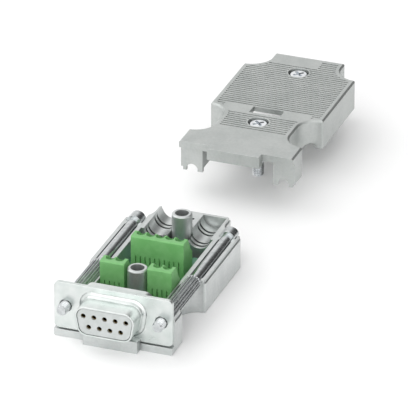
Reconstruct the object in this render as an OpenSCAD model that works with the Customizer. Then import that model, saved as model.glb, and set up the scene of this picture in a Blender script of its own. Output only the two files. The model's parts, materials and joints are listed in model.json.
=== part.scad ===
// Nine-way d-sub bus connector with a two-part cast housing, shown opened.
// The origin is the middle of the flange's front face, between the two jackscrews.
// The socket faces -Y, the cables leave towards +Y and the housing's underside looks down.

/* [Connector face] */
// Set-in of the sheet metal flange from each side of the housing
flange_set_in = 0.095; // [0.05:0.005:0.3]
// Height of the sheet metal flange
flange_h = 12.55; // [12:0.05:12.8]
// Corner radius of the flange
flange_r = 1.2; // [0.8:0.1:2]
// Thickness of each sheet metal shell
sheet_t = 0.5; // [0.4:0.05:0.55]
// Distance between the two jackscrews
jack_pitch = 24.99; // [24.8:0.01:25.2]
// Hole in the flange for a jackscrew
jack_hole_d = 3.2; // [3:0.05:3.6]
// Width of the snout over its wide side
snout_w = 16.33; // [16:0.01:16.6]
// Height of the snout
snout_h = 7.9; // [7.7:0.05:8.2]
// Corner radius of the snout
snout_r = 2.6; // [1.6:0.1:3]
// Slope of the snout's sides in degrees
snout_slope = 10; // [8:0.5:12]
// Length of the snout in front of the flange
snout_len = 6; // [5.4:0.1:6.6]
// Wall of the snout and of the rear collar
snout_wall = 0.4; // [0.3:0.05:0.5]
// Width of the rear collar
collar_w = 18.2; // [17.6:0.1:18.4]
// Height of the rear collar
collar_h = 10.4; // [9.6:0.1:10.8]
// Corner radius of the rear collar
collar_r = 2; // [1.4:0.1:2.8]
// Depth of the rear collar behind the flange
collar_len = 4.6; // [3.6:0.1:5]

/* [Contacts] */
// Distance between contacts in a row
contact_pitch = 2.77; // [2.74:0.01:2.8]
// Distance between the two rows
row_pitch = 2.84; // [2.8:0.01:3]
// Outer diameter of a socket contact
contact_d = 1.5; // [1.3:0.05:1.7]
// Bore of a socket contact
contact_bore_d = 1.04; // [0.9:0.02:1.1]
// Gap between the insulator and the snout
insert_gap = 0.14; // [0.08:0.01:0.2]
// Hole in the insulator's face over a contact
entry_d = 1.3; // [1.2:0.05:1.5]
// Diameter of a soldered contact tail
tail_d = 0.6; // [0.5:0.05:0.7]
// Distance between the two rows of soldered tails
tail_pitch = 2.54; // [2.4:0.02:2.6]

/* [Housing] */
// Width of the housing
body_w = 31; // [30.9:0.05:31.6]
// Depth of the lower shell's underside below the jackscrew axis
under = 8.5; // [8.3:0.1:9]
// Height of the cover's top above the jackscrew axis
over = 8.5; // [8.3:0.1:9]
// Height of the parting plane above the jackscrew axis
part_z = 0.5; // [0.3:0.05:0.8]
// Thickness of the lower shell's floor
floor_t = 1.2; // [0.9:0.1:1.5]
// Thickness of the cover's roof
roof_t = 1.4; // [1.1:0.1:1.7]
// Where the finger notches begin behind the flange
notch_start = 7; // [6.4:0.1:7.6]
// Where the finger notches end
notch_end = 22.8; // [22:0.1:23.4]
// Radius and depth of the finger notches
notch_r = 5.2; // [5.1:0.02:5.3]
// Where the wide part of the housing ends
body_end = 48.4; // [48:0.1:49]
// Radius of the hollow shoulders beside the tail
shoulder_r = 5.8; // [5.6:0.05:5.9]
// Where the tail ends
tail_end = 57; // [56.4:0.1:58]
// Rounding of the housing's upright edges
edge_r = 0.6; // [0.3:0.05:0.9]
// Bevel along the cover's top edges
bevel = 0.45; // [0.3:0.05:0.9]
// Bevel along the lower shell's bottom edges
foot_bevel = 0.35; // [0.2:0.05:0.5]
// Half width of the board bay inside the shells
bay_half_w = 9.6; // [9.55:0.01:9.65]
// Rear end of the board bay
bay_end = 44; // [43.4:0.1:44.4]
// Reach of the side lips in front of the flange
lip_reach = 0.4; // [0.2:0.05:0.8]
// Height of the lips above and below the flange
lip_h = 1.95; // [1.6:0.05:2.1]
// Half width of the tabs that hold the flange
tab_half_w = 7.1; // [6.6:0.05:7.6]
// Reach of the tabs in front of the flange
tab_reach = 2.5; // [2:0.1:3]
// Height of the tabs
tab_h = 3.2; // [2.9:0.05:3.5]
// Thickness of the front walls beside the board bay
front_wall = 1; // [0.8:0.05:1.2]
// Drop of the cover's legs below the parting plane
leg_drop = 0.9; // [0.6:0.05:1]
// Set-in of the cover's legs from the housing's sides
leg_set_in = 0.6; // [0.5:0.05:0.8]
// Width of the arch between the two tips of a leg
leg_arch_d = 3.1; // [2.8:0.05:3.4]
// Height of the set-back band under the lower shell's rim
band_h = 0.8; // [0.5:0.05:1.1]
// Depth of the set-back band
band_depth = 0.3; // [0.15:0.05:0.4]

/* [Posts and cover screws] */
// Place of the front post behind the flange
post_front_y = 16.6; // [16.2:0.1:17]
// Place of the rear post behind the flange
post_rear_y = 47.6; // [47.4:0.1:48]
// Outer diameter of a post
post_d = 5.2; // [4.6:0.1:5.2]
// Clear bore of a post
post_bore_d = 3.5; // [3.2:0.05:3.6]
// Height of a post's top above the jackscrew axis
post_rise = 4.6; // [4.2:0.1:5]
// Chamfer round the top of a post
post_chamfer = 0.3; // [0.1:0.05:0.5]
// Thread diameter of a cover screw
screw_d = 3; // [2.9:0.05:3.1]
// Neck diameter of a cover screw
neck_d = 2.5; // [2.3:0.05:2.6]
// Head diameter of a cover screw
head_d = 4.8; // [4.4:0.1:5]
// Head height of a cover screw
head_h = 1.7; // [1.4:0.1:1.8]
// Length of a cover screw under its head
screw_len = 13.2; // [12.6:0.1:13.6]
// Threaded length at a cover screw's tip
thread_len = 4; // [3:0.1:5]
// Sink of the screw seat below the cover's top
seat_sink = 2.1; // [1.9:0.05:2.3]
// Diameter of the counterbore round a screw head
counterbore_d = 5.5; // [5.3:0.05:5.6]
// Sideways place of the cover that was taken off
cover_x = 2; // [0:0.1:4]
// Distance that the cover lies behind its closed place
cover_y = 81.6; // [76:0.1:90]

/* [Cover top] */
// Distance between two ribs of the cover's top
rib_pitch = 1.1; // [0.9:0.05:1.3]
// Width of the grooves between the ribs
rib_gap = 0.5; // [0.35:0.05:0.6]
// Depth of the grooves between the ribs
rib_depth = 0.25; // [0.15:0.05:0.35]
// Plain border round the ribbed field
rib_border = 1.3; // [1:0.05:1.6]
// Front end of the ribbed field
rib_start = 12; // [11:0.1:13]
// Width of the switch window
window_w = 8.4; // [8:0.1:8.8]
// Length of the switch window
window_l = 3.6; // [3.2:0.1:3.8]
// Place of the switch window's middle
window_y = 23; // [22.6:0.1:23.4]

/* [Jackscrews] */
// Thread diameter of a jackscrew
jack_d = 2.84; // [2.7:0.02:2.9]
// Reach of a jackscrew in front of the flange
jack_reach = 3; // [2.4:0.1:6]
// Neck diameter of a jackscrew where it passes the flange
jack_neck_d = 2.5; // [2.2:0.05:2.6]
// Diameter of the fluted grip
grip_d = 4.1; // [3.9:0.05:4.15]
// Number of flutes on the grip
flutes = 18; // [12:1:20]
// Diameter of a flute
flute_d = 0.5; // [0.3:0.05:0.55]
// Diameter of the plain shank
shank_d = 2.9; // [2.4:0.05:3]
// Diameter of the slotted head
jack_head_d = 4.2; // [4:0.05:4.3]
// Reach of the head behind the housing's wide part
head_reach = 1.4; // [0.8:0.1:2]
// Width of the screwdriver slots
slot_w = 0.7; // [0.5:0.05:0.9]

/* [Cable clamps] */
// Distance of a cable channel from the middle
cable_x = 5.75; // [5.72:0.01:5.8]
// Diameter of a cable channel
cable_d = 6.2; // [6:0.05:6.2]
// Distance of the first gap behind the board bay
clamp_first = 0.9; // [0.8:0.05:1.2]
// Distance between the two gaps of a pair
clamp_pitch = 1.6; // [1.5:0.05:1.8]
// Distance between the front pair and the rear pair of gaps
pair_pitch = 6.1; // [5.6:0.1:6.4]
// Width of the gaps between the clamp ribs
clamp_gap = 0.75; // [0.6:0.05:0.9]
// Depth of the gaps below the parting plane
clamp_depth = 5; // [4.4:0.1:5.4]
// Thickness of the web that closes the right channel
web_t = 1; // [0.8:0.05:1.4]

/* [Circuit board and terminals] */
// Depth of the board's top below the jackscrew axis
board_drop = 4; // [3.8:0.05:4.1]
// Thickness of the board
board_t = 1.6; // [1.4:0.05:1.7]
// Front edge of the board
board_start = 6; // [5.4:0.1:6.4]
// Rear edge of the board
board_end = 41.5; // [40:0.1:42.5]
// Width of the ledges that carry the board
ledge_w = 1; // [0.7:0.05:1.2]
// Distance between two poles of a terminal block
pole_pitch = 2.54; // [2.5:0.01:2.58]
// Side walls of a terminal block over its poles
block_extra = 1.3; // [0.8:0.02:1.4]
// Depth of a terminal block's top face
block_top_l = 3.1; // [2.8:0.05:3.4]
// Depth of a terminal block
block_l = 6.2; // [6:0.05:6.5]
// Height of a terminal block
block_h = 9.5; // [9.3:0.05:9.8]
// Front face of the five-way block
five_y = 30; // [28:0.1:31]
// Front face of the two-way blocks
two_y = 15.2; // [14.6:0.1:16]
// Sideways place of the two-way blocks
two_x = 6.25; // [6.2:0.01:6.3]
// Thread diameter of a clamp screw
clamp_d = 1.4; // [1.3:0.02:1.5]
// Head diameter of a clamp screw
clamp_head_d = 2; // [1.9:0.05:2.1]
// Travel of a clamp sleeve
sleeve_travel = 1.2; // [0.8:0.05:1.2]
// Width of a clamp sleeve
sleeve_w = 1.9; // [1.8:0.02:1.96]
// Depth of a clamp sleeve
sleeve_l = 2.3; // [2.1:0.05:2.4]
// Height of a clamp sleeve
sleeve_h = 3; // [2.9:0.05:3.1]
// Height of the mouth in a clamp sleeve
mouth_h = 1.8; // [1.75:0.01:1.85]

/* [Fits] */
// Running clearance round turning and sliding pieces
fit = 0.05; // [0.03:0.01:0.08]
// Loose clearance round pins and bodies
loose = 0.1; // [0.08:0.01:0.14]

/* [Hidden] */
$fn = 48;
eps = 0.01;
// Depth at which the straight sides of a D outline run into its corner arcs
seam = 0.002;

cast_grey = "#B0B5B4";
cover_grey = "#A7ADAB";
tin = "#D8DEDB";
resin = "#DCDFDE";
gold = "#C9A85C";
board_green = "#2E7D5B";
block_green = "#64A860";
steel = "#BFC3C4";

half_w = body_w / 2;
flange_w = body_w - 2 * flange_set_in;
jack_x = jack_pitch / 2;
seat_y = 2 * sheet_t + fit;
bay_floor = floor_t - under;
bay_roof = over - roof_t;
board_top = -board_drop;
board_low = board_top - board_t;
posts = [post_front_y, post_rear_y];

// Stages of the path that each jackscrew lies in
grip_start = seat_y + front_wall + 2 * loose;
grip_back = 0.4;
grip_end = notch_end - grip_back;
grip_path_end = grip_end + 2 * loose;
path_web = 1.6;
head_sink = 2.1;
channel_start = grip_path_end + path_web;
head_start = body_end - head_sink;
channel_end = head_start - path_web;
head_end = body_end + head_reach;
channel_play = 0.3;
channel_half_w = shank_d / 2 + channel_play;
channel_depth = 6;

// Height of a cover screw's seat and of its tip, in the closed place
screw_seat = over - seat_sink;
screw_tip = screw_seat + fit - screw_len;
cover_shift = [cover_x, cover_y, -under - screw_tip];
boss_wall = 0.5;
boss_r = counterbore_d / 2 + boss_wall;

// Plain fields of the ribbed top: round the screws, round the window and on the tail
screw_field = 0.4;
window_field = 0.5;
window_field_side = 3.5;
tail_field = 4;

// Recess in front of the rear post, and the blind hole behind it
post_recess_half_w = 3;
blind_hole = [0.9, 52.9];
blind_hole_d = 0.9;
blind_hole_deep = 2;

// Insulator's face behind the snout's edge, wall in front of the contacts, and the contacts' own stations
face_sink = 0.15;
contact_sink = 0.6;
contact_past = 0.4;
contact_bore_end = -0.5;

// Turned lead of a jackscrew, and the depth of the driver slots
jack_lead = 0.3;
jack_slot_deep = 1.2;
cross_deep = 0.9;

// Heights inside a terminal block, above the board
chamber_low = 0.5;
sleeve_low = chamber_low + loose;
sleeve_floor = 0.5;
chamber_top = sleeve_low + sleeve_h + sleeve_travel + 2 * loose;
bar_t = 0.35;
bar_top = sleeve_low + sleeve_floor + mouth_h - loose;
bar_half_w = 0.6;
mouth_half_w = bar_half_w + loose;
screw_y = 2.4;
sleeve_front = screw_y - sleeve_l / 2;
clamp_web = 2.2;
clamp_seat = chamber_top + clamp_web;
clamp_head_h = 0.95;
clamp_slot_w = 0.4;
pin_front = 0.4;
pin_l = 0.5;
pin_half_w = 0.35;
pin_below = 0.8;
pin_hole_d = 1.1;
bar_past = 0.6;
entry_rise = 0.3;
// Set-in and share of the height of the brow over the wire entries, and the lead along the top edge
brow_set_in = 1.1;
brow_share = 0.62;
block_lead = 0.3;
// Width, depth and height of the slits in a block's front
slit = [0.3, 0.35, 4.2];

// Sideways and lengthways place of the nine poles: five-way block, left block, right block
poles = concat(
    [for (k = [-2:2]) [k * pole_pitch, five_y]],
    [for (s = [-1, 1], k = [-1, 1]) [s * two_x + k * pole_pitch / 2, two_y]]
);
// Sideways and upright place of the nine contacts, and how far back each tail turns down
tail_reach = 2.6;
tail_start = collar_len + tail_reach;
contacts = concat(
    [for (k = [-2:2]) [k * contact_pitch, row_pitch / 2, tail_start + tail_pitch]],
    [for (k = [-1.5:1.5]) [k * contact_pitch, -row_pitch / 2, tail_start]]
);

// Stretches a flat outline in X and Z along the Y axis
module along_y(y0, y1) {
    translate([0, y1, 0])
        rotate([90, 0, 0])
            linear_extrude(y1 - y0) children();
}

// Stretches a flat outline in Y and Z along the X axis
module along_x(x0, x1) {
    translate([x0, 0, 0])
        rotate([90, 0, 90])
            linear_extrude(x1 - x0) children();
}

// Box between two corners
module box(low, high) {
    translate(low) cube(high - low);
}

// Rectangle with round corners about the middle
module rounded_rect(w, h, r) {
    square([w - 2 * r, h], center = true);
    square([w, h - 2 * r], center = true);
    for (sx = [-1, 1], sy = [-1, 1])
        translate([sx * (w / 2 - r), sy * (h / 2 - r)]) circle(r);
}

// Middle of the corner arc of a D outline at one height
function d_centre(w, h, r, z) = [w / 2 - (h / 2 - z) * tan(snout_slope) - r / cos(snout_slope), z];

// D outline with its wide side up and round corners
module d_outline(w, h, r) {
    top = d_centre(w, h, r, h / 2 - r);
    low = d_centre(w, h, r, r - h / 2);
    side = [cos(snout_slope), -sin(snout_slope)];
    right = [[top.x, h / 2], top + (r - seam) * side, low + (r - seam) * side, [low.x, -h / 2]];
    polygon(concat(right, [for (i = [3:-1:0]) [-right[i].x, right[i].y]]));
    for (c = [top, low], s = [-1, 1])
        translate([s * c.x, c.y]) circle(r);
}

// D outline drawn in by a wall
module d_inside(w, h, r, wall) {
    d_outline(w - 2 * wall * (tan(snout_slope) + 1 / cos(snout_slope)), h - 2 * wall, r - wall);
}

// Removes what lies outside the round of one upright corner
module corner_cut(corner, side, r) {
    difference() {
        translate(corner - [side.x > 0 ? r : eps, side.y > 0 ? r : eps]) square(r + eps);
        translate(corner - r * side) circle(r);
    }
}

// Plan of the housing, drawn in by an even inset
module housing_plan(inset = 0) {
    half = half_w - inset;
    notch = notch_r + inset;
    shoulder = shoulder_r + inset;
    difference() {
        translate([-half, seat_y + inset]) square([2 * half, tail_end - seat_y - 2 * inset]);
        for (s = [-1, 1]) {
            for (y = [notch_start + notch_r, notch_end - notch_r])
                translate([s * half_w, y]) circle(notch);
            translate([s * half_w - notch, notch_start + notch_r])
                square([2 * notch, notch_end - notch_start - 2 * notch_r]);
            translate([s * half_w, body_end + shoulder_r]) circle(shoulder);
            translate([s * half_w - shoulder, body_end + shoulder_r]) square([2 * shoulder, tail_end - body_end]);
            corner_cut([s * half, notch_start - inset], [s, 1], edge_r);
            corner_cut([s * half, notch_end + inset], [s, -1], edge_r);
            corner_cut([s * half, body_end - inset], [s, 1], edge_r);
            corner_cut([s * (half_w - shoulder), tail_end - inset], [s, 1], edge_r);
        }
    }
}

// Bevel along the plan's outer edge, widest at the height z and cutting towards the middle
module edge_bevel(z, size, side) {
    tip = side * size;
    wedge = [[eps, side * eps], [-size, side * eps], [eps, -tip - side * eps]];
    for (s = [-1, 1]) {
        mirror([s < 0 ? 1 : 0, 0, 0]) {
            along_y(seat_y - tab_reach - 1, body_end + 1)
                translate([half_w, z]) polygon(wedge);
            along_y(notch_start + notch_r, notch_end - notch_r)
                translate([half_w - notch_r, z]) polygon(wedge);
            along_y(body_end + shoulder_r, tail_end + 1)
                translate([half_w - shoulder_r, z]) polygon(wedge);
            for (c = [[notch_start + notch_r, notch_r], [notch_end - notch_r, notch_r],
                      [body_end + shoulder_r, shoulder_r]])
                translate([half_w, c[0], z - (side > 0 ? size : 0)])
                    cylinder(h = size, r1 = c[1] + (side > 0 ? 0 : size), r2 = c[1] + (side > 0 ? size : 0));
        }
    }
    along_x(-half_w, half_w)
        translate([tail_end, z]) polygon(wedge);
}

// Straight run of a jackscrew's path, open towards the parting plane
module path_run(r, y0, y1) {
    along_y(y0, y1) {
        circle(r);
        translate([-r, 0]) square([2 * r, part_z + eps]);
    }
}

// Paths of both jackscrews, cut out of both shells
module jackscrew_paths(channel_z) {
    for (s = [-1, 1])
        translate([s * jack_x, 0, 0]) {
            path_run(leg_arch_d / 2, seat_y - eps, seat_y + front_wall + eps);
            path_run(grip_d / 2 + loose, seat_y + front_wall, grip_path_end);
            path_run(shank_d / 2 + fit, grip_path_end - eps, head_start + eps);
            path_run(jack_head_d / 2 + loose, head_start, tail_end);
            box([-channel_half_w, channel_start, min(channel_z, part_z + eps)],
                [channel_half_w, channel_end, max(channel_z, part_z + eps)]);
        }
}

// Round cable channels with gaps between their clamp ribs; the right one ends at a web
module cable_channels() {
    for (s = [-1, 1])
        translate([s * cable_x, 0, part_z]) {
            along_y(bay_end - eps, s < 0 ? tail_end + 1 : tail_end - web_t) circle(cable_d / 2);
            for (pair = [0, 1], k = [0, 1])
                translate([-cable_d / 2, bay_end + clamp_first + k * clamp_pitch + pair * pair_pitch, -clamp_depth])
                    cube([cable_d, clamp_gap, 2 * clamp_depth]);
        }
}

// Lip beside the flange and tab in front of it, for the underside (-1) or the top (1)
module flange_holder(side) {
    edge = side > 0 ? over : under;
    mirror([0, 0, side > 0 ? 0 : 1]) {
        box([-half_w, -lip_reach, edge - lip_h], [half_w, seat_y + eps, edge]);
        box([-tab_half_w, -tab_reach, edge - tab_h], [tab_half_w, -fit, edge]);
    }
}

// Legs at the cover's front that reach below the parting plane, grown by a clearance
module cover_legs(grow = 0) {
    for (s = [0, 1])
        mirror([s, 0, 0])
            box([bay_half_w - grow, seat_y - grow, part_z - leg_drop - grow],
                [half_w - leg_set_in + grow, seat_y + front_wall + grow, part_z + eps]);
}

// Lower shell: floor, walls, jackscrew beds, board ledges, posts and cable clamps
module base_shell() {
    color(cast_grey)
        difference() {
            union() {
                difference() {
                    union() {
                        translate([0, 0, -under]) linear_extrude(under + part_z) housing_plan();
                        flange_holder(-1);
                    }
                    box([-bay_half_w, seat_y - eps, bay_floor], [bay_half_w, bay_end, part_z + 1]);
                    box([-post_recess_half_w, bay_end - eps, bay_floor],
                        [post_recess_half_w, post_rear_y, part_z + 1]);
                    jackscrew_paths(-channel_depth);
                    cable_channels();
                    cover_legs(loose);
                    rim_band();
                    edge_bevel(-under, foot_bevel, -1);
                }
                for (s = [-1, 1])
                    mirror([s < 0 ? 1 : 0, 0, 0])
                        box([bay_half_w - ledge_w, board_start, bay_floor - eps],
                            [bay_half_w + eps, board_end, board_low]);
                for (y = posts)
                    translate([0, y, 0]) {
                        translate([0, 0, -under]) cylinder(h = under + post_rise - post_chamfer, d = post_d);
                        translate([0, 0, post_rise - post_chamfer])
                            cylinder(h = post_chamfer, d1 = post_d, d2 = post_d - 2 * post_chamfer);
                    }
            }
            for (y = posts) {
                translate([0, y, screw_tip + thread_len]) cylinder(h = 2 * under, d = post_bore_d);
                translate([0, y, bay_floor]) cylinder(h = under, d = neck_d);
            }
            translate([blind_hole.x, blind_hole.y, part_z - blind_hole_deep]) cylinder(h = under, d = blind_hole_d);
        }
}

// Set-back band that leaves a shadow line under the cover
module rim_band() {
    difference() {
        box([-body_w, seat_y + sheet_t, part_z - band_h], [body_w, 2 * tail_end, part_z + eps]);
        translate([0, 0, -under]) linear_extrude(2 * under) housing_plan(band_depth);
    }
}

// Ribbed field of the cover's top, as the grooves to be cut
module top_grooves() {
    rows = floor((tail_end - rib_start) / rib_pitch);
    difference() {
        intersection() {
            housing_plan(rib_border);
            for (k = [0:rows])
                translate([-half_w, rib_start + k * rib_pitch]) square([body_w, rib_gap]);
        }
        for (y = posts)
            translate([0, y]) circle(counterbore_d / 2 + screw_field);
        translate([window_field_side - half_w, window_y - window_l / 2 - window_field])
            square([body_w - 2 * window_field_side, window_l + 2 * window_field]);
        translate([-half_w, post_rear_y + tail_field]) square([half_w + tail_field, tail_end]);
    }
}

// Cover in its closed place: roof, walls, jackscrew arches, screw bosses and cable clamps
module closed_cover() {
    difference() {
        union() {
            difference() {
                union() {
                    translate([0, 0, part_z]) linear_extrude(over - part_z) housing_plan();
                    flange_holder(1);
                    cover_legs();
                }
                box([-bay_half_w, seat_y - eps, part_z - eps], [bay_half_w, bay_end, bay_roof]);
                jackscrew_paths(channel_depth);
                cable_channels();
            }
            for (y = posts)
                translate([0, y, post_rise + loose]) cylinder(h = over - post_rise - loose, r = boss_r);
        }
        for (y = posts) {
            translate([0, y, screw_seat]) cylinder(h = seat_sink + 1, d = counterbore_d);
            translate([0, y, 0]) cylinder(h = over, d = screw_d + 2 * loose);
        }
        box([-window_w / 2, window_y - window_l / 2, 0], [window_w / 2, window_y + window_l / 2, over + 1]);
        translate([0, 0, over - rib_depth]) linear_extrude(1) top_grooves();
        edge_bevel(over, bevel, 1);
    }
}

// Cover, taken off and lying behind the lower shell
module cover_shell() {
    color(cover_grey) translate(cover_shift) closed_cover();
}

// Flange of one sheet metal shell
module flange_plate(y0, y1) {
    along_y(y0, y1)
        difference() {
            rounded_rect(flange_w, flange_h, flange_r);
            for (s = [-1, 1])
                translate([s * jack_x, 0]) circle(d = jack_hole_d);
        }
}

// Front shell: flange and drawn snout
module dsub_front_shell() {
    color(tin)
        difference() {
            union() {
                flange_plate(0, sheet_t);
                along_y(-snout_len, sheet_t) d_outline(snout_w, snout_h, snout_r);
            }
            along_y(-snout_len - 1, sheet_t + 1) d_inside(snout_w, snout_h, snout_r, snout_wall);
        }
}

// Rear shell: flange and collar round the insulator
module dsub_rear_shell() {
    color(tin)
        difference() {
            union() {
                flange_plate(sheet_t, 2 * sheet_t);
                along_y(sheet_t, collar_len) d_outline(collar_w, collar_h, collar_r);
            }
            along_y(0, collar_len + 1) d_inside(collar_w, collar_h, collar_r, snout_wall);
        }
}

// Insulator that carries the socket contacts
module dsub_insulator() {
    color(resin)
        difference() {
            union() {
                along_y(face_sink - snout_len, sheet_t + 2 * fit)
                    d_inside(snout_w, snout_h, snout_r, snout_wall + insert_gap);
                along_y(sheet_t + fit, collar_len)
                    d_inside(collar_w, collar_h, collar_r, snout_wall + fit);
            }
            for (c = contacts)
                translate([c.x, 0, c.y]) {
                    along_y(-snout_len - 1, 0) circle(d = entry_d);
                    along_y(contact_sink - snout_len, collar_len + 1) circle(d = contact_d + 2 * fit);
                }
        }
}

// Nine socket contacts with their tails down to the board
module socket_contacts() {
    front = contact_sink + fit - snout_len;
    tail_low = board_low - pin_below;
    color(gold)
        for (c = contacts)
            translate([c.x, 0, c.y]) {
                difference() {
                    along_y(front, collar_len + contact_past) circle(d = contact_d);
                    along_y(front - 1, contact_bore_end) circle(d = contact_bore_d);
                }
                along_y(collar_len, c.z) circle(d = tail_d);
                translate([0, c.z, 0]) sphere(d = tail_d);
                translate([0, c.z, tail_low - c.y]) cylinder(h = c.y - tail_low, d = tail_d);
            }
}

// Circuit board with its holes for the post, the tails and the terminal pins
module circuit_board() {
    half = bay_half_w - loose;
    color(board_green)
        difference() {
            box([-half, board_start, board_low], [half, board_end, board_top]);
            translate([0, post_front_y, board_low - 1]) cylinder(h = board_t + 2, d = post_d + 4 * loose);
            for (c = contacts)
                translate([c.x, c.z, board_low - 1]) cylinder(h = board_t + 2, d = tail_d + 2 * loose);
            for (p = poles)
                translate([p.x, p.y + pin_front + pin_l / 2, board_low - 1])
                    cylinder(h = board_t + 2, d = pin_hole_d);
        }
}

// Side view of a terminal block: plain front, stepped rear over the wire entries
module block_side() {
    brow = [block_l - brow_set_in, brow_share * block_h];
    polygon([
        [0, 0], [0, block_h - block_lead], [block_lead, block_h], [block_top_l, block_h],
        brow, [block_l, block_h / 2], [block_l, 0]
    ]);
}

// Room inside a terminal block for one pole
module pole_room() {
    room_half = sleeve_w / 2 + fit;
    translate([0, screw_y, clamp_seat]) cylinder(h = block_h, d = clamp_head_d + 3 * loose);
    translate([0, screw_y, chamber_top - eps]) cylinder(h = block_h, d = clamp_d + 2 * fit);
    box([-room_half, sleeve_front - fit, chamber_low], [room_half, sleeve_front + sleeve_l + fit, chamber_top]);
    box([-room_half, sleeve_front, chamber_low + entry_rise], [room_half, block_l + 1, bar_top + loose]);
    box([-bar_half_w - loose, pin_front - fit, bar_top - bar_t - loose],
        [bar_half_w + loose, screw_y, bar_top + loose]);
    box([-pin_half_w - fit, pin_front - fit, -1], [pin_half_w + fit, pin_front + pin_l + fit, bar_top]);
}

// Terminal block with a row of poles
module terminal_block(count, x, y) {
    half = (count * pole_pitch + block_extra) / 2;
    color(block_green)
        translate([x, y, board_top])
            difference() {
                along_x(-half, half) block_side();
                for (k = [0:count - 1])
                    translate([(k - (count - 1) / 2) * pole_pitch, 0, 0]) {
                        pole_room();
                        for (s = [-1, 1])
                            box([s * pole_pitch / 4 - slit.x / 2, -1, -1],
                                [s * pole_pitch / 4 + slit.x / 2, slit.y, slit.z]);
                    }
            }
}

module terminal_block_five() { terminal_block(5, 0, five_y); }
module terminal_block_left() { terminal_block(2, -two_x, two_y); }
module terminal_block_right() { terminal_block(2, two_x, two_y); }

// Fixed current bars with their solder pins, for the poles of one block
module current_bars(first, last) {
    color(tin)
        for (i = [first:last])
            translate([poles[i].x, poles[i].y, board_top]) {
                box([-bar_half_w, pin_front, bar_top - bar_t],
                    [bar_half_w, sleeve_front + sleeve_l + bar_past, bar_top]);
                box([-pin_half_w, pin_front, -board_t - pin_below], [pin_half_w, pin_front + pin_l, bar_top]);
            }
}

module current_bars_five() { current_bars(0, 4); }
module current_bars_left() { current_bars(5, 6); }
module current_bars_right() { current_bars(7, 8); }

// Clamp screw of one pole, with its slotted head
module clamp_screw(i) {
    tip = bar_top + loose / 2;
    seat = clamp_seat + fit;
    color(steel)
        translate([poles[i].x, poles[i].y + screw_y, board_top])
            difference() {
                union() {
                    translate([0, 0, tip]) cylinder(h = seat - tip + eps, d = clamp_d);
                    translate([0, 0, seat]) cylinder(h = clamp_head_h, d = clamp_head_d);
                }
                translate([-clamp_head_d, -clamp_slot_w / 2, seat + clamp_head_h / 2])
                    cube([2 * clamp_head_d, clamp_slot_w, 1]);
            }
}

// Clamp sleeve of one pole, which the screw draws up against the current bar
module clamp_sleeve(i) {
    mouth_low = sleeve_low + sleeve_floor;
    color(steel)
        translate([poles[i].x, poles[i].y, board_top])
            difference() {
                box([-sleeve_w / 2, sleeve_front, sleeve_low],
                    [sleeve_w / 2, sleeve_front + sleeve_l, sleeve_low + sleeve_h]);
                box([-mouth_half_w, 0, mouth_low], [mouth_half_w, block_l, mouth_low + mouth_h]);
                translate([0, screw_y, mouth_low]) cylinder(h = sleeve_h, d = clamp_d + 2 * fit);
            }
}

// Jackscrew: threaded tip, fluted grip, plain shank and slotted head
module jackscrew(side) {
    tip_r = jack_d / 2;
    neck_r = jack_neck_d / 2;
    grip_r = grip_d / 2;
    shank_r = shank_d / 2;
    head_r = jack_head_d / 2;
    lead = jack_lead;
    head_low = head_start + fit;
    color(steel)
        translate([side * jack_x, 0, 0])
            difference() {
                rotate([-90, 0, 0])
                    rotate_extrude()
                        polygon([
                            [0, -jack_reach], [tip_r - lead, -jack_reach], [tip_r, lead - jack_reach],
                            [tip_r, 0], [neck_r, 0], [neck_r, grip_start],
                            [grip_r - lead, grip_start], [grip_r, grip_start + lead],
                            [grip_r, grip_end - lead], [grip_r - lead, grip_end], [shank_r, grip_end],
                            [shank_r, head_low], [head_r, head_low], [head_r, head_end - lead],
                            [head_r - lead, head_end], [0, head_end]
                        ]);
                for (k = [0:flutes - 1])
                    rotate([0, k * 360 / flutes, 0])
                        translate([grip_r, 0, 0])
                            along_y(grip_start - 1, grip_end + eps) circle(d = flute_d);
                box([-head_r - 1, head_end - jack_slot_deep, -slot_w / 2], [head_r + 1, head_end + 1, slot_w / 2]);
            }
}

module jackscrew_left() { jackscrew(-1); }
module jackscrew_right() { jackscrew(1); }

// Cover screw in its hole of the cover that was taken off
module cover_screw(y) {
    seat = screw_seat + fit;
    color(steel)
        translate(cover_shift + [0, y, 0])
            difference() {
                union() {
                    translate([0, 0, seat]) cylinder(h = head_h, d = head_d);
                    translate([0, 0, screw_tip]) cylinder(h = thread_len, d = screw_d);
                    translate([0, 0, screw_tip]) cylinder(h = screw_len + eps, d = neck_d);
                }
                for (turn = [0, 90])
                    rotate([0, 0, 45 + turn])
                        box([-head_d, -slot_w / 2, seat + head_h - cross_deep], [head_d, slot_w / 2, over + 1]);
            }
}

module cover_screw_front() { cover_screw(post_front_y); }
module cover_screw_rear() { cover_screw(post_rear_y); }

base_shell();
cover_shell();
dsub_front_shell();
dsub_rear_shell();
dsub_insulator();
socket_contacts();
circuit_board();
terminal_block_five();
terminal_block_left();
terminal_block_right();
current_bars_five();
current_bars_left();
current_bars_right();
jackscrew_left();
jackscrew_right();
cover_screw_front();
cover_screw_rear();
for (i = [0:8]) {
    clamp_screw(i);
    clamp_sleeve(i);
}
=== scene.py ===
import json
import math

import bmesh
import bpy
from mathutils import Matrix, Vector


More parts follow.
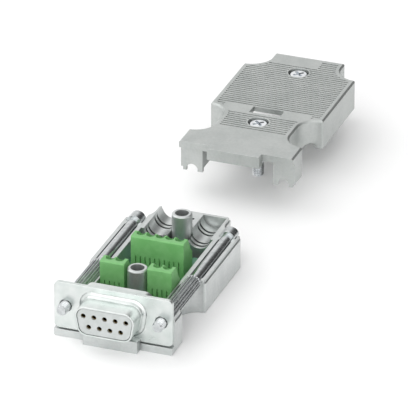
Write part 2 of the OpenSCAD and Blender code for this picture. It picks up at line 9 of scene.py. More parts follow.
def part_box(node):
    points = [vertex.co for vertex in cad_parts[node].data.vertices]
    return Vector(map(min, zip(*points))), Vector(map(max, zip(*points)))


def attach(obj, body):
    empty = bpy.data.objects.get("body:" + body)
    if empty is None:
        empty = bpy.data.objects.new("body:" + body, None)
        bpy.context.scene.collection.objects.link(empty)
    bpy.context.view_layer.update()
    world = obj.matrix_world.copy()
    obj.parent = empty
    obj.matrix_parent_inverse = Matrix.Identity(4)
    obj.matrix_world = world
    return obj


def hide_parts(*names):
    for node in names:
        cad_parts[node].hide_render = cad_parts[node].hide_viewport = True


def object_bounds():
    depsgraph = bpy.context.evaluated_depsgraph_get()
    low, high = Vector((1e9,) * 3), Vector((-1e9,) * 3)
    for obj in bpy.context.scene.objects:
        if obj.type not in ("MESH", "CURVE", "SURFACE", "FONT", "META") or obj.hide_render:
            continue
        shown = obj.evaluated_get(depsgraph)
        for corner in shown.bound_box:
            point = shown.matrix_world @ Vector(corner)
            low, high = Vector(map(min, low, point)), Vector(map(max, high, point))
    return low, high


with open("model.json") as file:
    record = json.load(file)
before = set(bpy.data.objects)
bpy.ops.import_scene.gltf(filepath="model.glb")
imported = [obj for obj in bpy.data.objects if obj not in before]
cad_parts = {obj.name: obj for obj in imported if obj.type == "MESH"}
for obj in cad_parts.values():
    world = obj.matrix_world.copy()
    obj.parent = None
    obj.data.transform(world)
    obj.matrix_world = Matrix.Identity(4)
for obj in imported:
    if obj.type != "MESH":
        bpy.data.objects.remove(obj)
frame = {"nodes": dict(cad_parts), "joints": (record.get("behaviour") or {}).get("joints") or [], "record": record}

# Sizes are in metres, in the frame of the connector: -Y is the socket face and +Z is up
MM = 0.001
cad_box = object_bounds()
FLOOR_Z = cad_box[0][2]

# Camera of the photograph, for a square picture
CAMERA_AZIMUTH = math.radians(20.42)
CAMERA_ELEVATION = math.radians(27.36)
CAMERA_DISTANCE = 1308.13 * MM
CAMERA_AIM_RIGHT = 22.1 * MM
CAMERA_AIM_UP = 26.8 * MM
CAMERA_LENS = 474.2
CAMERA_SENSOR = 36

# Threads and heads of the screws
JACK_PITCH = 0.635 * MM
JACK_THREAD_DEPTH = 0.34 * MM
COVER_PITCH = 0.5 * MM
COVER_THREAD_DEPTH = 0.28 * MM
FLUTES = 18
FLUTE_DEPTH = 0.34 * MM
SLOT_WIDTH = 0.7 * MM
SLOT_DEPTH = 1.2 * MM
SCREW_SIDES = 72
ROWS_PER_TURN = 10

# Stations along a jackscrew behind the flange's face, and its radii
GRIP_START = 2.25 * MM
GRIP_END = 22.4 * MM
JACK_HEAD_START = 46.35 * MM
JACK_THREAD_RADIUS = 1.42 * MM
JACK_NECK_RADIUS = 1.25 * MM
GRIP_RADIUS = 2.05 * MM
SHANK_RADIUS = 1.45 * MM
JACK_HEAD_RADIUS = 2.1 * MM
LEAD = 0.3 * MM

# Cover screws
COVER_HEAD_HEIGHT = 1.7 * MM
COVER_HEAD_RADIUS = 2.4 * MM
COVER_HEAD_ROUND = 0.45 * MM
COVER_THREAD_RADIUS = 1.5 * MM
COVER_THREAD_LENGTH = 4 * MM
COVER_NECK_RADIUS = 1.25 * MM
RECESS_ARM = 1.55 * MM
RECESS_DEPTH = 1.0 * MM

# D outline of the snout, and the round where it rises from the flange
SNOUT_WIDTH = 16.33 * MM
SNOUT_HEIGHT = 7.9 * MM
SNOUT_RADIUS = 2.6 * MM
SNOUT_SLOPE = math.radians(10)
ROOT_ROUND = 1.15 * MM
ROOT_SINK = 0.02 * MM

# Steps in a corner of the D outline and in a quarter round
CORNER_STEPS = 12
ROUND_STEPS = 8

# Rows of soldered tails on the board
CONTACT_PITCH = 2.77 * MM
TAIL_ROW_PITCH = 2.54 * MM
TAIL_RADIUS = 0.3 * MM
SOLDER_RADIUS = 0.75 * MM
SOLDER_HEIGHT = 0.6 * MM

# Width of the marks in the finishes
FLOW_MARKS = 6 * MM
CAST_GRAIN = 0.16 * MM
CAST_PITS = 0.7 * MM
SMUDGES = 4 * MM
DRAWING_LINES = 1 * MM
RESIN_MOTTLE = 2.2 * MM
RESIN_GRAIN = 0.12 * MM
TRACK_PITCH = 1.27 * MM
GLASS_WEAVE = 0.45 * MM
TOOL_LINES = 0.8 * MM
TURNED_SMUDGES = 1.6 * MM
GOLD_TONES = 0.8 * MM
MASK_TONES = 3 * MM
TRACK_PATCHES = 9 * MM
SOLDER_FROST = 0.3 * MM
# Colour of the painted shade that darkens the recesses of the castings
PAINTED_RECESS_SHADE = "#4A4D4D"

# Light that the floor adds where it is seen, so that it reads as white paper
FLOOR_LIFT = 0.06
FLOOR_PAINT = 0.95
FLOOR_HALF = 3.0

# Directions of the dark wall, the bright front and the dim right side of the tent
DARK_WALL = (0.46, 0.83, 0.31)
BRIGHT_FRONT = (0.2, -0.95, -0.1)
DIM_RIGHT = (0.9, 0.3, -0.2)
LIGHT_AIM = (0.01, 0.05, 0)

# Strength of the tent, what its top and front add, and what its wall and right side take away
TENT_LIGHT = 0.95
TOP_LIGHT = 0.06
FRONT_LIGHT = 0.85
WALL_SHADE = 0.85
RIGHT_SHADE = 0.65


def linear(hex_colour):
    """Linear colour of a hexadecimal screen colour."""
    parts = [int(hex_colour[i:i + 2], 16) / 255 for i in (1, 3, 5)]
    return [((p + 0.055) / 1.055) ** 2.4 if p > 0.04045 else p / 12.92 for p in parts] + [1.0]


class Wire:
    """A socket in a node tree. Sums on it add Math nodes."""

    def __init__(self, graph, socket):
        self.graph = graph
        self.socket = socket

    def maths(self, operation, first, second=0.0):
        return self.graph.node("ShaderNodeMath", {"operation": operation}, {0: first, 1: second})

    def __add__(self, other):
        return self.maths("ADD", self, other)

    def __radd__(self, other):
        return self.maths("ADD", other, self)

    def __sub__(self, other):
        return self.maths("SUBTRACT", self, other)

    def __rsub__(self, other):
        return self.maths("SUBTRACT", other, self)

    def __mul__(self, other):
        return self.maths("MULTIPLY", self, other)

    def __rmul__(self, other):
        return self.maths("MULTIPLY", other, self)

    def __truediv__(self, other):
        return self.maths("DIVIDE", self, other)

    def __abs__(self):
        return self.maths("ABSOLUTE", self)

    def power(self, exponent):
        return self.maths("POWER", self, exponent)

    def fraction(self):
        return self.maths("FRACT", self)

    def cosine(self):
        return self.maths("COSINE", self)

    def below(self, edge):
        return self.maths("LESS_THAN", self, edge)

    def most(self, other):
        return self.maths("MAXIMUM", self, other)

    def least(self, other):
        return self.maths("MINIMUM", self, other)

    def step(self, low, high):
        """Smooth rise from 0 at low to 1 at high."""
        settings = {"interpolation_type": "SMOOTHSTEP"}
        sockets = {"Value": self, "From Min": low, "From Max": high}
        return self.graph.node("ShaderNodeMapRange", settings, sockets)


class Graph:
    """A node tree that is filled by expressions."""

    def __init__(self, tree):
        self.tree = tree
        self.tree.nodes.clear()

    def feed(self, socket, value):
        if isinstance(value, Wire):
            self.tree.links.new(value.socket, socket)
        else:
            socket.default_value = value

    def node(self, kind, settings=None, sockets=None, out=0):
        made = self.tree.nodes.new(kind)
        for name, value in (settings or {}).items():
            setattr(made, name, value)
        for name, value in (sockets or {}).items():
            self.feed(made.inputs[name], value)
        return Wire(self, made.outputs[out])

    def axes_of(self, vector):
        """The three parts of a vector."""
        parts = self.node("ShaderNodeSeparateXYZ", sockets={0: vector}).socket.node.outputs
        return [Wire(self, parts[i]) for i in range(3)]


class Finish(Graph):
    """One material with a Principled shader, patterned on Object coordinates."""

    def __init__(self, name, constants):
        self.material = bpy.data.materials.new(name)
        self.material.use_nodes = True
        super().__init__(self.material.node_tree)
        self.shader = self.tree.nodes.new("ShaderNodeBsdfPrincipled")
        output = self.tree.nodes.new("ShaderNodeOutputMaterial")
        self.tree.links.new(self.shader.outputs[0], output.inputs["Surface"])
        for socket, value in constants.items():
            self.shader.inputs[socket].default_value = value
        self.place = self.node("ShaderNodeTexCoord", out="Object")

    def set(self, socket, value):
        self.feed(self.shader.inputs[socket], value)

    def stretched(self, scale):
        """Object coordinates with a scale for each axis."""
        return self.node("ShaderNodeMapping", sockets={"Vector": self.place, "Scale": scale})

    def noise(self, feature, detail=3.0, roughness=0.55, place=None):
        """Noise from 0 to 1 whose features are about as wide as given."""
        sockets = {
            "Vector": place or self.place, "Scale": 1 / feature, "Detail": detail, "Roughness": roughness}
        return self.node("ShaderNodeTexNoise", {"noise_dimensions": "3D"}, sockets)

    def blend(self, factor, first, second):
        """Colour between two colours."""
        settings = {"data_type": "RGBA"}
        return self.node("ShaderNodeMix", settings, {0: factor, 6: first, 7: second}, out=2)

    def soft_edges(self, radius):
        """Normal with edges rounded by a small radius."""
        return self.node("ShaderNodeBevel", {"samples": 6}, {"Radius": radius})

    def recess(self, reach):
        """How deep a point lies in a narrow recess of its own piece, from 0 to 1."""
        settings = {"samples": 6, "only_local": True}
        open_air = self.node("ShaderNodeAmbientOcclusion", settings, {"Distance": reach}, out="AO")
        return 1 - open_air.step(0.25, 0.8)

    def relief(self, height, depth, normal=None):
        """Bump of a given depth in metres, on top of an optional normal."""
        sockets = {"Height": height, "Distance": depth, "Strength": 1.0}
        if normal is not None:
            sockets["Normal"] = normal
        self.set("Normal", self.node("ShaderNodeBump", sockets=sockets))


def cast_metal(name, dark, light, smooth, rough, grain_depth, edge, recess_reach):
    """Die cast and plated: fine grain, soft flow marks, painted shade with higher roughness in recesses, and
    rounded edges.
    """
    finish = Finish(name, {"Metallic": 0.82})
    flow = finish.noise(FLOW_MARKS, detail=2.0)
    grain = finish.noise(CAST_GRAIN, detail=4.0)
    pits = finish.noise(CAST_PITS, detail=2.0)
    tone = flow * 0.6 + pits * 0.4
    # Recess mask: it paints shade into the base colour and also raises the roughness there
    painted_shade_and_dullness = finish.recess(recess_reach)
    bright = finish.blend(tone.step(0.3, 0.7), linear(dark), linear(light))
    # Painted shade: the base colour darkens towards the painted recess shade where the piece's own walls close
    # round a point
    finish.set("Base Color", finish.blend(0.75 * painted_shade_and_dullness, bright, linear(PAINTED_RECESS_SHADE)))
    finish.set("Roughness", smooth + (rough - smooth) * (flow * 0.5 + grain * 0.5) + 0.2 * painted_shade_and_dullness)
    finish.relief(grain + pits * 0.7, grain_depth, finish.soft_edges(edge))
    return finish.material


def tinned_sheet():
    """Drawn sheet with bright tin: faint drawing lines and soft smudges."""
    finish = Finish("tinned_sheet", {"Metallic": 1.0})
    lines = finish.noise(DRAWING_LINES, detail=3.0, place=finish.stretched((0.35, 8.0, 6.0)))
    smudge = finish.noise(SMUDGES, detail=2.0)
    finish.set("Base Color", finish.blend(smudge.step(0.3, 0.7), linear("#D3DAD7"), linear("#E2E6E4")))
    finish.set("Roughness", 0.2 + 0.14 * smudge + 0.06 * lines)
    finish.relief(lines, 0.006 * MM, finish.soft_edges(0.25 * MM))
    return finish.material


def moulded(name, dark, light, rough, grain_depth, edge):
    """Moulded plastic: faint mottling, a fine spark-eroded grain and soft edges."""
    finish = Finish(name, {"Metallic": 0.0, "Specular IOR Level": 0.45})
    mottle = finish.noise(RESIN_MOTTLE, detail=3.0)
    grain = finish.noise(RESIN_GRAIN, detail=2.0)
    finish.set("Base Color", finish.blend(mottle.step(0.3, 0.7), linear(dark), linear(light)))
    finish.set("Roughness", rough + 0.12 * (grain - 0.5) + 0.1 * (mottle - 0.5))
    finish.relief(grain, grain_depth, finish.soft_edges(edge))
    return finish.material


def gold_plate():
    """Thin gold with a soft change of tone."""
    finish = Finish("gold_contacts", {"Metallic": 1.0})
    tone = finish.noise(GOLD_TONES)
    finish.set("Base Color", finish.blend(tone, linear("#A48B58"), linear("#C6B184")))
    finish.set("Roughness", 0.18 + 0.15 * tone)
    finish.relief(tone, 0.004 * MM)
    return finish.material


def solder_mask():
    """Laminate under green solder mask, with copper tracks showing through."""
    finish = Finish("board_laminate", {"Metallic": 0.0, "Coat Roughness": 0.12, "Coat Weight": 0.5})
    across, along, _ = finish.axes_of(finish.place)
    track = abs((across / TRACK_PITCH).fraction() - 0.5).below(0.17)
    bend = finish.noise(TRACK_PATCHES, detail=0.0).step(0.47, 0.5)
    weave = (across / GLASS_WEAVE).cosine() * (along / GLASS_WEAVE).cosine() * 0.5 + 0.5
    mask = finish.blend(finish.noise(MASK_TONES), linear("#236B4B"), linear("#2E7D5B"))
    copper = finish.blend(track * bend, mask, linear("#4B9A70"))
    finish.set("Base Color", copper)
    finish.set("Roughness", 0.34 + 0.12 * weave)
    finish.relief(track * bend * 0.6 + weave * 0.12, 0.03 * MM)
    return finish.material


def turned_metal(name, dark, light, rough, along_axis):
    """Turned and plated: fine tool lines round the axis."""
    finish = Finish(name, {"Metallic": 1.0})
    scale = [0.6, 0.6, 0.6]
    scale[along_axis] = 9.0
    lines = finish.noise(TOOL_LINES, detail=2.0, place=finish.stretched(scale))
    smudge = finish.noise(TURNED_SMUDGES, detail=2.0)
    finish.set("Base Color", finish.blend(smudge.step(0.3, 0.7), linear(dark), linear(light)))
    finish.set("Roughness", rough + 0.12 * (smudge - 0.4) + 0.08 * (lines - 0.5))
    finish.relief(lines, 0.006 * MM, finish.soft_edges(0.06 * MM))
    return finish.material


def solder():
    """Bright solder with a frosty skin."""
    finish = Finish("solder", {"Metallic": 1.0})
    frost = finish.noise(SOLDER_FROST)
    finish.set("Base Color", finish.blend(frost, linear("#B9BCBD"), linear("#DADCDC")))
    finish.set("Roughness", 0.2 + 0.2 * frost)
    finish.relief(frost, 0.01 * MM)
    return finish.material


FINISHES = {
    "cast_base": cast_metal("cast_base", "#C6CAC9", "#D6D9D8", 0.28, 0.38, 0.006 * MM, 0.16 * MM, 1.8 * MM),
    "cast_cover": cast_metal("cast_cover", "#B4B8B6", "#C2C5C3", 0.36, 0.46, 0.014 * MM, 0.14 * MM, 0.5 * MM),
    "tinned_sheet": tinned_sheet(),
    "pale_resin": moulded("pale_resin", "#B8BDBB", "#C2C6C5", 0.5, 0.006 * MM, 0.08 * MM),
    "gold_contacts": gold_plate(),
    "board_laminate": solder_mask(),
    "green_resin": moulded("green_resin", "#72B26C", "#7DBA77", 0.46, 0.008 * MM, 0.1 * MM),
    "tinned_copper": turned_metal("tinned_copper", "#B4B2AC", "#CFCDC7", 0.3, 2),
    "turned_steel": turned_metal("turned_steel", "#BEC2C3", "#D2D5D6", 0.22, 1),
    "plated_screws": turned_metal("plated_screws", "#DFE2E5", "#F0F2F4", 0.16, 2),
}
for part in frame["record"]["subparts"]:
    slots = frame["nodes"][part["node"]].data.materials
    slots.clear()
    slots.append(FINISHES[part["material_slot"]])


def placed(name, data):
    """New object in the scene."""
    made = bpy.data.objects.new(name, data)
    bpy.context.scene.collection.objects.link(made)
    return made


def shaped_mesh(holder):
    """Mesh of an object with its modifiers applied."""
    graph = bpy.context.evaluated_depsgraph_get()
    return bpy.data.meshes.new_from_object(holder.evaluated_get(graph), depsgraph=graph)


def skin_mesh(name, skin):
    """Mesh of a finished skin, with its faces turned outwards."""
    bmesh.ops.recalc_face_normals(skin, faces=skin.faces)
    mesh = bpy.data.meshes.new(name)
    skin.to_mesh(mesh)
    skin.free()
    return mesh


def kept(mesh, name, body, replaced=()):
    """A finished piece of the object that moves with a body."""
    piece = placed(name, mesh)
    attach(piece, body)
    for node in replaced:
        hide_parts(node)
    return piece


def plain_mesh(name, base, tree, values):
    """Mesh that a Geometry Nodes tree makes of a base mesh."""
    holder = placed(name, base)
    modifier = holder.modifiers.new("shape", "NODES")
    modifier.node_group = tree
    for item in tree.interface.items_tree:
        if item.item_type == "SOCKET" and item.in_out == "INPUT" and item.name in values:
            modifier[item.identifier] = values[item.name]
    mesh = shaped_mesh(holder)
    bpy.data.objects.remove(holder)
    mesh.name = name
    return mesh


def new_shape_tree(name, inputs):
    """Geometry Nodes tree with a geometry input and named number or material inputs."""
    tree = bpy.data.node_groups.new(name, "GeometryNodeTree")
    tree.is_modifier = True
    tree.interface.new_socket("Geometry", in_out="INPUT", socket_type="NodeSocketGeometry")
    for label, kind in inputs:
        tree.interface.new_socket(label, in_out="INPUT", socket_type=kind)
    tree.interface.new_socket("Geometry", in_out="OUTPUT", socket_type="NodeSocketGeometry")
    graph = Graph(tree)
    entry = tree.nodes.new("NodeGroupInput")
    exit_node = tree.nodes.new("NodeGroupOutput")
    given = {socket.name: Wire(graph, socket) for socket in entry.outputs if socket.name}
    return graph, given, exit_node


NUMBER = "NodeSocketFloat"
MATERIAL = "NodeSocketMaterial"


def finished_geometry(graph, given, shape):
    """Last nodes of every tree: real instances, then the finish."""
    real = graph.node("GeometryNodeRealizeInstances", sockets={0: shape})
    return graph.node("GeometryNodeSetMaterial", sockets={"Geometry": real, "Material": given["Finish"]})


def screw_cutting_tree():
    """Cuts a thread and flutes into a turned blank along Z."""
    inputs = [(label, NUMBER) for label in (
        "Thread start", "Thread end", "Pitch", "Thread depth", "Flute start", "Flute end",
        "Flutes", "Flute depth")]
    graph, given, exit_node = new_shape_tree("screw_cutting", inputs + [("Finish", MATERIAL)])
    x, y, z = graph.axes_of(graph.node("GeometryNodeInputPosition"))
    angle = x.maths("ARCTAN2", y, x)
    turn = angle / (2 * math.pi)
    thread_on = z.step(given["Thread start"], given["Thread start"] + given["Pitch"] * 0.5)
    thread_off = z.step(given["Thread end"] - given["Pitch"], given["Thread end"])
    ridge = abs((z / given["Pitch"] - turn).fraction() * 2 - 1)
    groove = ((1 - ridge) * 1.25).least(1.0)
    thread_cut = given["Thread depth"] * groove * thread_on * (1 - thread_off)
    flute_on = z.step(given["Flute start"], given["Flute start"] + 0.3 * MM)
    flute_off = z.step(given["Flute end"] - 0.3 * MM, given["Flute end"])
    lobes = (((angle * given["Flutes"]).cosine() + 1) * 0.5).power(1.6)
    flute_cut = given["Flute depth"] * lobes * flute_on * (1 - flute_off)
    radius = (x * x + y * y).power(0.5).most(0.001 * MM)
    share = (thread_cut + flute_cut).least(radius) / radius
    moved = graph.node("ShaderNodeCombineXYZ", sockets={0: x * (1 - share), 1: y * (1 - share), 2: z})
    shaped = graph.node("GeometryNodeSetPosition", sockets={"Geometry": given["Geometry"], "Position": moved})
    graph.feed(exit_node.inputs[0], finished_geometry(graph, given, shaped))
    return graph.tree


def solder_tree():
    """Sets a small solder cone on every point."""
    inputs = [("Foot radius", NUMBER), ("Top radius", NUMBER), ("Height", NUMBER), ("Finish", MATERIAL)]
    graph, given, exit_node = new_shape_tree("solder_joints", inputs)
    cone = graph.node("GeometryNodeMeshCone", {"fill_type": "NGON"}, {
        "Vertices": 20, "Side Segments": 6, "Radius Top": given["Top radius"],
        "Radius Bottom": given["Foot radius"], "Depth": given["Height"]})
    x, y, z = graph.axes_of(graph.node("GeometryNodeInputPosition"))
    rise = z / given["Height"]
    waist = 1 - 0.45 * (rise * (1 - rise)) * 4 * (1 - rise * 0.5)
    drawn_in = graph.node("ShaderNodeCombineXYZ", sockets={0: x * waist, 1: y * waist, 2: z})
    meniscus = graph.node("GeometryNodeSetPosition", sockets={"Geometry": cone, "Position": drawn_in})
    sockets = {"Points": given["Geometry"], "Instance": meniscus}
    joints = graph.node("GeometryNodeInstanceOnPoints", sockets=sockets)
    graph.feed(exit_node.inputs[0], finished_geometry(graph, given, joints))
    return graph.tree


def rows_of(profile, spacing):
    """Profile rows with long stretches divided into steps of about the given spacing."""
    rows = [profile[0]]
    for (z0, r0), (z1, r1) in zip(profile, profile[1:]):
        steps = max(1, math.ceil(abs(z1 - z0) / spacing))
        for k in range(1, steps + 1):
            rows.append((z0 + (z1 - z0) * k / steps, r0 + (r1 - r0) * k / steps))
    return rows


def turned_blank(name, rows, sides):
    """Closed skin of a turned piece about Z, from rows of height and radius."""
    skin = bmesh.new()
    rings = []
    for height, radius in rows:
        count = sides if radius > 0 else 1
        angles = [2 * math.pi * k / count for k in range(count)]
        rings.append([skin.verts.new((radius * math.cos(a), radius * math.sin(a), height)) for a in angles])
    for low, high in zip(rings, rings[1:]):
        for k in range(sides):
            after = k + 1
            corners = [low[k % len(low)], low[after % len(low)], high[after % len(high)], high[k % len(high)]]
            skin.faces.new(list(dict.fromkeys(corners)))
    return skin_mesh(name, skin)


def slotted(mesh, boxes):
    """Cuts driver slots, given as low and high corners with a turn about Z, into a mesh."""
    holder = placed("slotted", mesh)
    cutters = []
    for low, high, turn in boxes:
        cutter_mesh = bpy.data.meshes.new("driver_slot")
        shape = bmesh.new()
        bmesh.ops.create_cube(shape, size=1.0)
        size = Vector(high) - Vector(low)
        middle = (Vector(high) + Vector(low)) / 2
        matrix = Matrix.Rotation(turn, 4, "Z") @ Matrix.Translation(middle) @ Matrix.Diagonal((*size, 1.0))
        shape.transform(matrix)
        shape.to_mesh(cutter_mesh)
        shape.free()
        cutter = placed("driver_slot", cutter_mesh)
        modifier = holder.modifiers.new("slot", "BOOLEAN")
        modifier.operation = "DIFFERENCE"
        modifier.solver = "EXACT"
        modifier.object = cutter
        cutters.append(cutter)
    cut = shaped_mesh(holder)
    for made in [holder, *cutters]:
        bpy.data.objects.remove(made)
    return cut


def smooth_shaded(mesh, angle=35):
    """Smooth faces with sharp edges kept."""
    mesh.polygons.foreach_set("use_smooth", [True] * len(mesh.polygons))
    mesh.set_sharp_from_angle(angle=math.radians(angle))
    mesh.update()


cutting = screw_cutting_tree()
joint_places = {joint["name"]: Vector(joint["pos_m"]) for joint in frame["joints"] if "pos_m" in joint}


def jackscrew(side):
    """Captive jackscrew: threaded tip, fluted grip, plain shank and slotted head, along Y."""
    node = "jackscrew_" + side
    low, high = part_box(node)
    tip, end = low[1], high[1]
    rows = [(tip, 0), (tip, JACK_THREAD_RADIUS - LEAD)]
    rows += rows_of([(tip + LEAD, JACK_THREAD_RADIUS), (0, JACK_THREAD_RADIUS)], JACK_PITCH / ROWS_PER_TURN)
    rows += [(0, JACK_NECK_RADIUS), (GRIP_START, JACK_NECK_RADIUS), (GRIP_START, GRIP_RADIUS - LEAD)]
    rows += [(GRIP_START + k * LEAD, GRIP_RADIUS) for k in (1, 2, 3)]
    rows += [(GRIP_END - k * LEAD, GRIP_RADIUS) for k in (3, 2, 1)]
    rows += [(GRIP_END, GRIP_RADIUS - LEAD), (GRIP_END, SHANK_RADIUS), (JACK_HEAD_START, SHANK_RADIUS)]
    rows += [(JACK_HEAD_START, JACK_HEAD_RADIUS), (end - LEAD, JACK_HEAD_RADIUS)]
    rows += [(end, JACK_HEAD_RADIUS - LEAD), (end, 0)]
    blank = turned_blank(node, rows, 12 * FLUTES)
    values = {
        "Thread start": tip, "Thread end": 0.0, "Pitch": JACK_PITCH, "Thread depth": JACK_THREAD_DEPTH,
        "Flute start": GRIP_START + LEAD, "Flute end": GRIP_END - LEAD, "Flutes": float(FLUTES),
        "Flute depth": FLUTE_DEPTH, "Finish": FINISHES["turned_steel"]}
    mesh = plain_mesh(node + "_turned", blank, cutting, values)
    wide = 1.5 * JACK_HEAD_RADIUS
    half_slot = SLOT_WIDTH / 2
    mesh = slotted(mesh, [((-wide, -half_slot, end - SLOT_DEPTH), (wide, half_slot, end + SLOT_DEPTH), 0.0)])
    smooth_shaded(mesh)
    axis_x = joint_places[node + "_spin"][0]
    mesh.transform(Matrix.Translation((axis_x, 0, 0)) @ Matrix.Rotation(-math.pi / 2, 4, "X"))
    return kept(mesh, node + "_turned", node, [node])


def cover_screw(place):
    """Captive cover screw: threaded tip, thin neck and a pan head with a cross recess."""
    node = "cover_screw_" + place
    low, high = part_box(node)
    tip, top = low[2], high[2]
    seat = top - COVER_HEAD_HEIGHT
    thread_end = tip + COVER_THREAD_LENGTH
    rows = [(tip, 0), (tip, COVER_THREAD_RADIUS - LEAD)]
    thread = [(tip + LEAD, COVER_THREAD_RADIUS), (thread_end - LEAD, COVER_THREAD_RADIUS)]
    rows += rows_of(thread, COVER_PITCH / ROWS_PER_TURN)
    rows += [(thread_end, COVER_NECK_RADIUS), (seat, COVER_NECK_RADIUS), (seat, COVER_HEAD_RADIUS)]
    for k in range(ROUND_STEPS + 1):
        turn = math.pi / 2 * k / ROUND_STEPS
        rows.append((top - COVER_HEAD_ROUND * (1 - math.sin(turn)),
                     COVER_HEAD_RADIUS - COVER_HEAD_ROUND * (1 - math.cos(turn))))
    rows += [(top, COVER_HEAD_RADIUS * 0.5), (top, 0)]
    blank = turned_blank(node, rows, SCREW_SIDES)
    values = {
        "Thread start": tip, "Thread end": thread_end, "Pitch": COVER_PITCH,
        "Thread depth": COVER_THREAD_DEPTH, "Flutes": 1.0, "Flute depth": 0.0,
        "Finish": FINISHES["plated_screws"]}
    mesh = plain_mesh(node + "_turned", blank, cutting, values)
    half_slot = SLOT_WIDTH / 2
    low_corner = (-RECESS_ARM, -half_slot, top - RECESS_DEPTH)
    high_corner = (RECESS_ARM, half_slot, top + RECESS_DEPTH)
    mesh = slotted(mesh, [(low_corner, high_corner, math.radians(turn)) for turn in (45, 135)])
    smooth_shaded(mesh)
    mesh.transform(Matrix.Translation((*joint_places[node + "_spin"].xy, 0)))
    return kept(mesh, node + "_turned", node, [node])


for side in ("left", "right"):
    jackscrew(side)
for place in ("front", "rear"):
    cover_screw(place)


def solder_joints():
    """Solder round the nine contact tails on the board."""
    board_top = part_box("circuit_board")[1][2]
    rear_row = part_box("socket_contacts")[1][1] - TAIL_RADIUS
    front_row = rear_row - TAIL_ROW_PITCH
    places = [(k * CONTACT_PITCH, rear_row, board_top) for k in (-2, -1, 0, 1, 2)]
    places += [(k * CONTACT_PITCH, front_row, board_top) for k in (-1.5, -0.5, 0.5, 1.5)]
    points = bpy.data.meshes.new("tail_places")
    points.from_pydata(places, [], [])
    values = {"Foot radius": SOLDER_RADIUS, "Top radius": TAIL_RADIUS * 1.1, "Height": SOLDER_HEIGHT,
              "Finish": solder()}
    mesh = plain_mesh("solder_joints", points, solder_tree(), values)
    smooth_shaded(mesh, 60)
    return kept(mesh, "solder_joints", "housing")


solder_joints()


def d_ring(grow):
    """Points of the snout's D outline in X and Z, grown by a distance."""
    points = []
    for side in (1, -1):
        half = []
        for height, first, last in ((1, math.pi / 2, -SNOUT_SLOPE), (-1, -SNOUT_SLOPE, -math.pi / 2)):
            middle_z = height * (SNOUT_HEIGHT / 2 - SNOUT_RADIUS)
            middle_x = (SNOUT_WIDTH / 2 - (SNOUT_HEIGHT / 2 - middle_z) * math.tan(SNOUT_SLOPE)
                        - SNOUT_RADIUS / math.cos(SNOUT_SLOPE))
            for k in range(CORNER_STEPS + 1):
                turn = first + (last - first) * k / CORNER_STEPS
                reach = SNOUT_RADIUS + grow
                half.append((side * (middle_x + reach * math.cos(turn)), middle_z + reach * math.sin(turn)))
        points += half if side > 0 else half[::-1]
    return points


def snout_root():
    """Round where the drawn snout rises from the flange, as a closed ring sunk a little into both."""
    section = [(ROOT_ROUND, ROOT_SINK)]
    for k in range(ROUND_STEPS + 1):
        turn = math.pi / 2 * k / ROUND_STEPS
        section.append((ROOT_ROUND * (1 - math.sin(turn)), ROOT_ROUND * (math.cos(turn) - 1)))
    section += [(-ROOT_SINK, -ROOT_ROUND), (-ROOT_SINK, ROOT_SINK)]
    skin = bmesh.new()
    rings = [[skin.verts.new((x, y, z)) for x, z in d_ring(grow)] for grow, y in section]
    count = len(rings[0])
    for first, second in zip(rings, rings[1:] + rings[:1]):
        for k in range(count):
            skin.faces.new((first[k], first[(k + 1) % count], second[(k + 1) % count], second[k]))
    mesh = skin_mesh("snout_root", skin)
    mesh.materials.append(FINISHES["tinned_sheet"])
    smooth_shaded(mesh)
    return kept(mesh, "snout_root", "housing")


snout_root()


# Floor, light and camera
def studio_floor():
    """Pale floor that the camera and the metal see as white, and that keeps the shadow."""
    material = bpy.data.materials.new("studio_floor")
    material.use_nodes = True
    graph = Graph(material.node_tree)
    path = graph.node("ShaderNodeLightPath").socket.node.outputs
    seen = Wire(graph, path["Is Camera Ray"]).most(Wire(graph, path["Is Glossy Ray"]))
    seen = seen.most(Wire(graph, path["Is Transmission Ray"]))
    paint = graph.node("ShaderNodeBsdfDiffuse", sockets={"Color": (*[FLOOR_PAINT] * 3, 1.0)})
    glow = graph.node("ShaderNodeEmission", sockets={"Color": (1, 1, 1, 1), "Strength": seen * FLOOR_LIFT})
    both = graph.node("ShaderNodeAddShader", sockets={0: paint, 1: glow})
    output = graph.tree.nodes.new("ShaderNodeOutputMaterial")
    graph.feed(output.inputs["Surface"], both)
    mesh = bpy.data.meshes.new("studio_floor")
    corners = [(x * FLOOR_HALF, y * FLOOR_HALF, FLOOR_Z) for x, y in ((-1, -1), (1, -1), (1, 1), (-1, 1))]
    mesh.from_pydata(corners, [], [(0, 1, 2, 3)])
    mesh.materials.append(material)
    floor = placed("studio_floor", mesh)


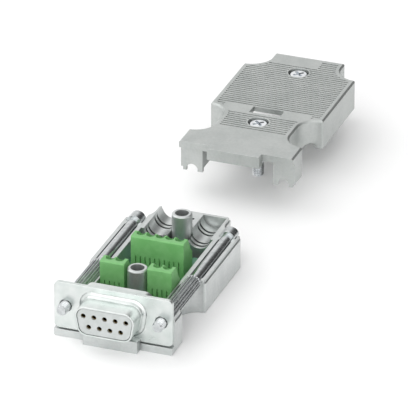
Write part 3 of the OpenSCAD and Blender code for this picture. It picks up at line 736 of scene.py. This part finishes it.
def softbox(name, place, size, power):
    """Square lamp that is aimed at the object."""
    lamp = bpy.data.lights.new(name, "AREA")
    lamp.shape = "SQUARE"
    lamp.size = size
    lamp.energy = power
    holder = placed(name, lamp)
    holder.location = place
    holder.rotation_euler = (Vector(LIGHT_AIM) - Vector(place)).to_track_quat("-Z", "Y").to_euler()


def studio_world():
    """Pale tent with a bright front, a dim right side and one dark wall for the metal to show."""
    world = bpy.data.worlds.new("studio")
    world.use_nodes = True
    bpy.context.scene.world = world
    graph = Graph(world.node_tree)
    x, y, z = graph.axes_of(graph.node("ShaderNodeTexCoord", out="Generated"))

    def towards(side):
        return side[0] * x + side[1] * y + side[2] * z

    dark_wall = towards(DARK_WALL).step(0.75, 0.97)
    bright_front = towards(BRIGHT_FRONT).step(0.2, 0.95)
    dim_right = towards(DIM_RIGHT).step(0.1, 0.9)
    light = TENT_LIGHT + TOP_LIGHT * z.step(0.1, 0.95) + FRONT_LIGHT * bright_front
    strength = light * (1 - WALL_SHADE * dark_wall) * (1 - RIGHT_SHADE * dim_right)
    sky = graph.node("ShaderNodeBackground", sockets={"Color": (1, 1, 1, 1), "Strength": strength})
    output = graph.tree.nodes.new("ShaderNodeOutputWorld")
    graph.feed(output.inputs["Surface"], sky)


def photo_camera():
    """Camera at the photograph's angle."""
    right = Vector((math.cos(CAMERA_AZIMUTH), math.sin(CAMERA_AZIMUTH), 0))
    back = Vector((math.sin(CAMERA_AZIMUTH) * math.cos(CAMERA_ELEVATION),
                   -math.cos(CAMERA_AZIMUTH) * math.cos(CAMERA_ELEVATION), math.sin(CAMERA_ELEVATION)))
    up = back.cross(right)
    camera = bpy.data.cameras.new("photo_camera")
    camera.sensor_width = CAMERA_SENSOR
    camera.lens = CAMERA_LENS
    holder = placed("photo_camera", camera)
    place = right * CAMERA_AIM_RIGHT + up * CAMERA_AIM_UP + back * CAMERA_DISTANCE
    holder.matrix_world = Matrix.Translation(place) @ Matrix((right, up, back)).transposed().to_4x4()
    bpy.context.scene.camera = holder


studio_floor()
studio_world()
softbox("key_light", (-0.4, 0.1, 0.5), 0.45, 0.7)
softbox("fill_light", (-0.1, -0.6, 0.35), 0.4, 0.3)
photo_camera()
bpy.context.scene.view_settings.view_transform = "Standard"
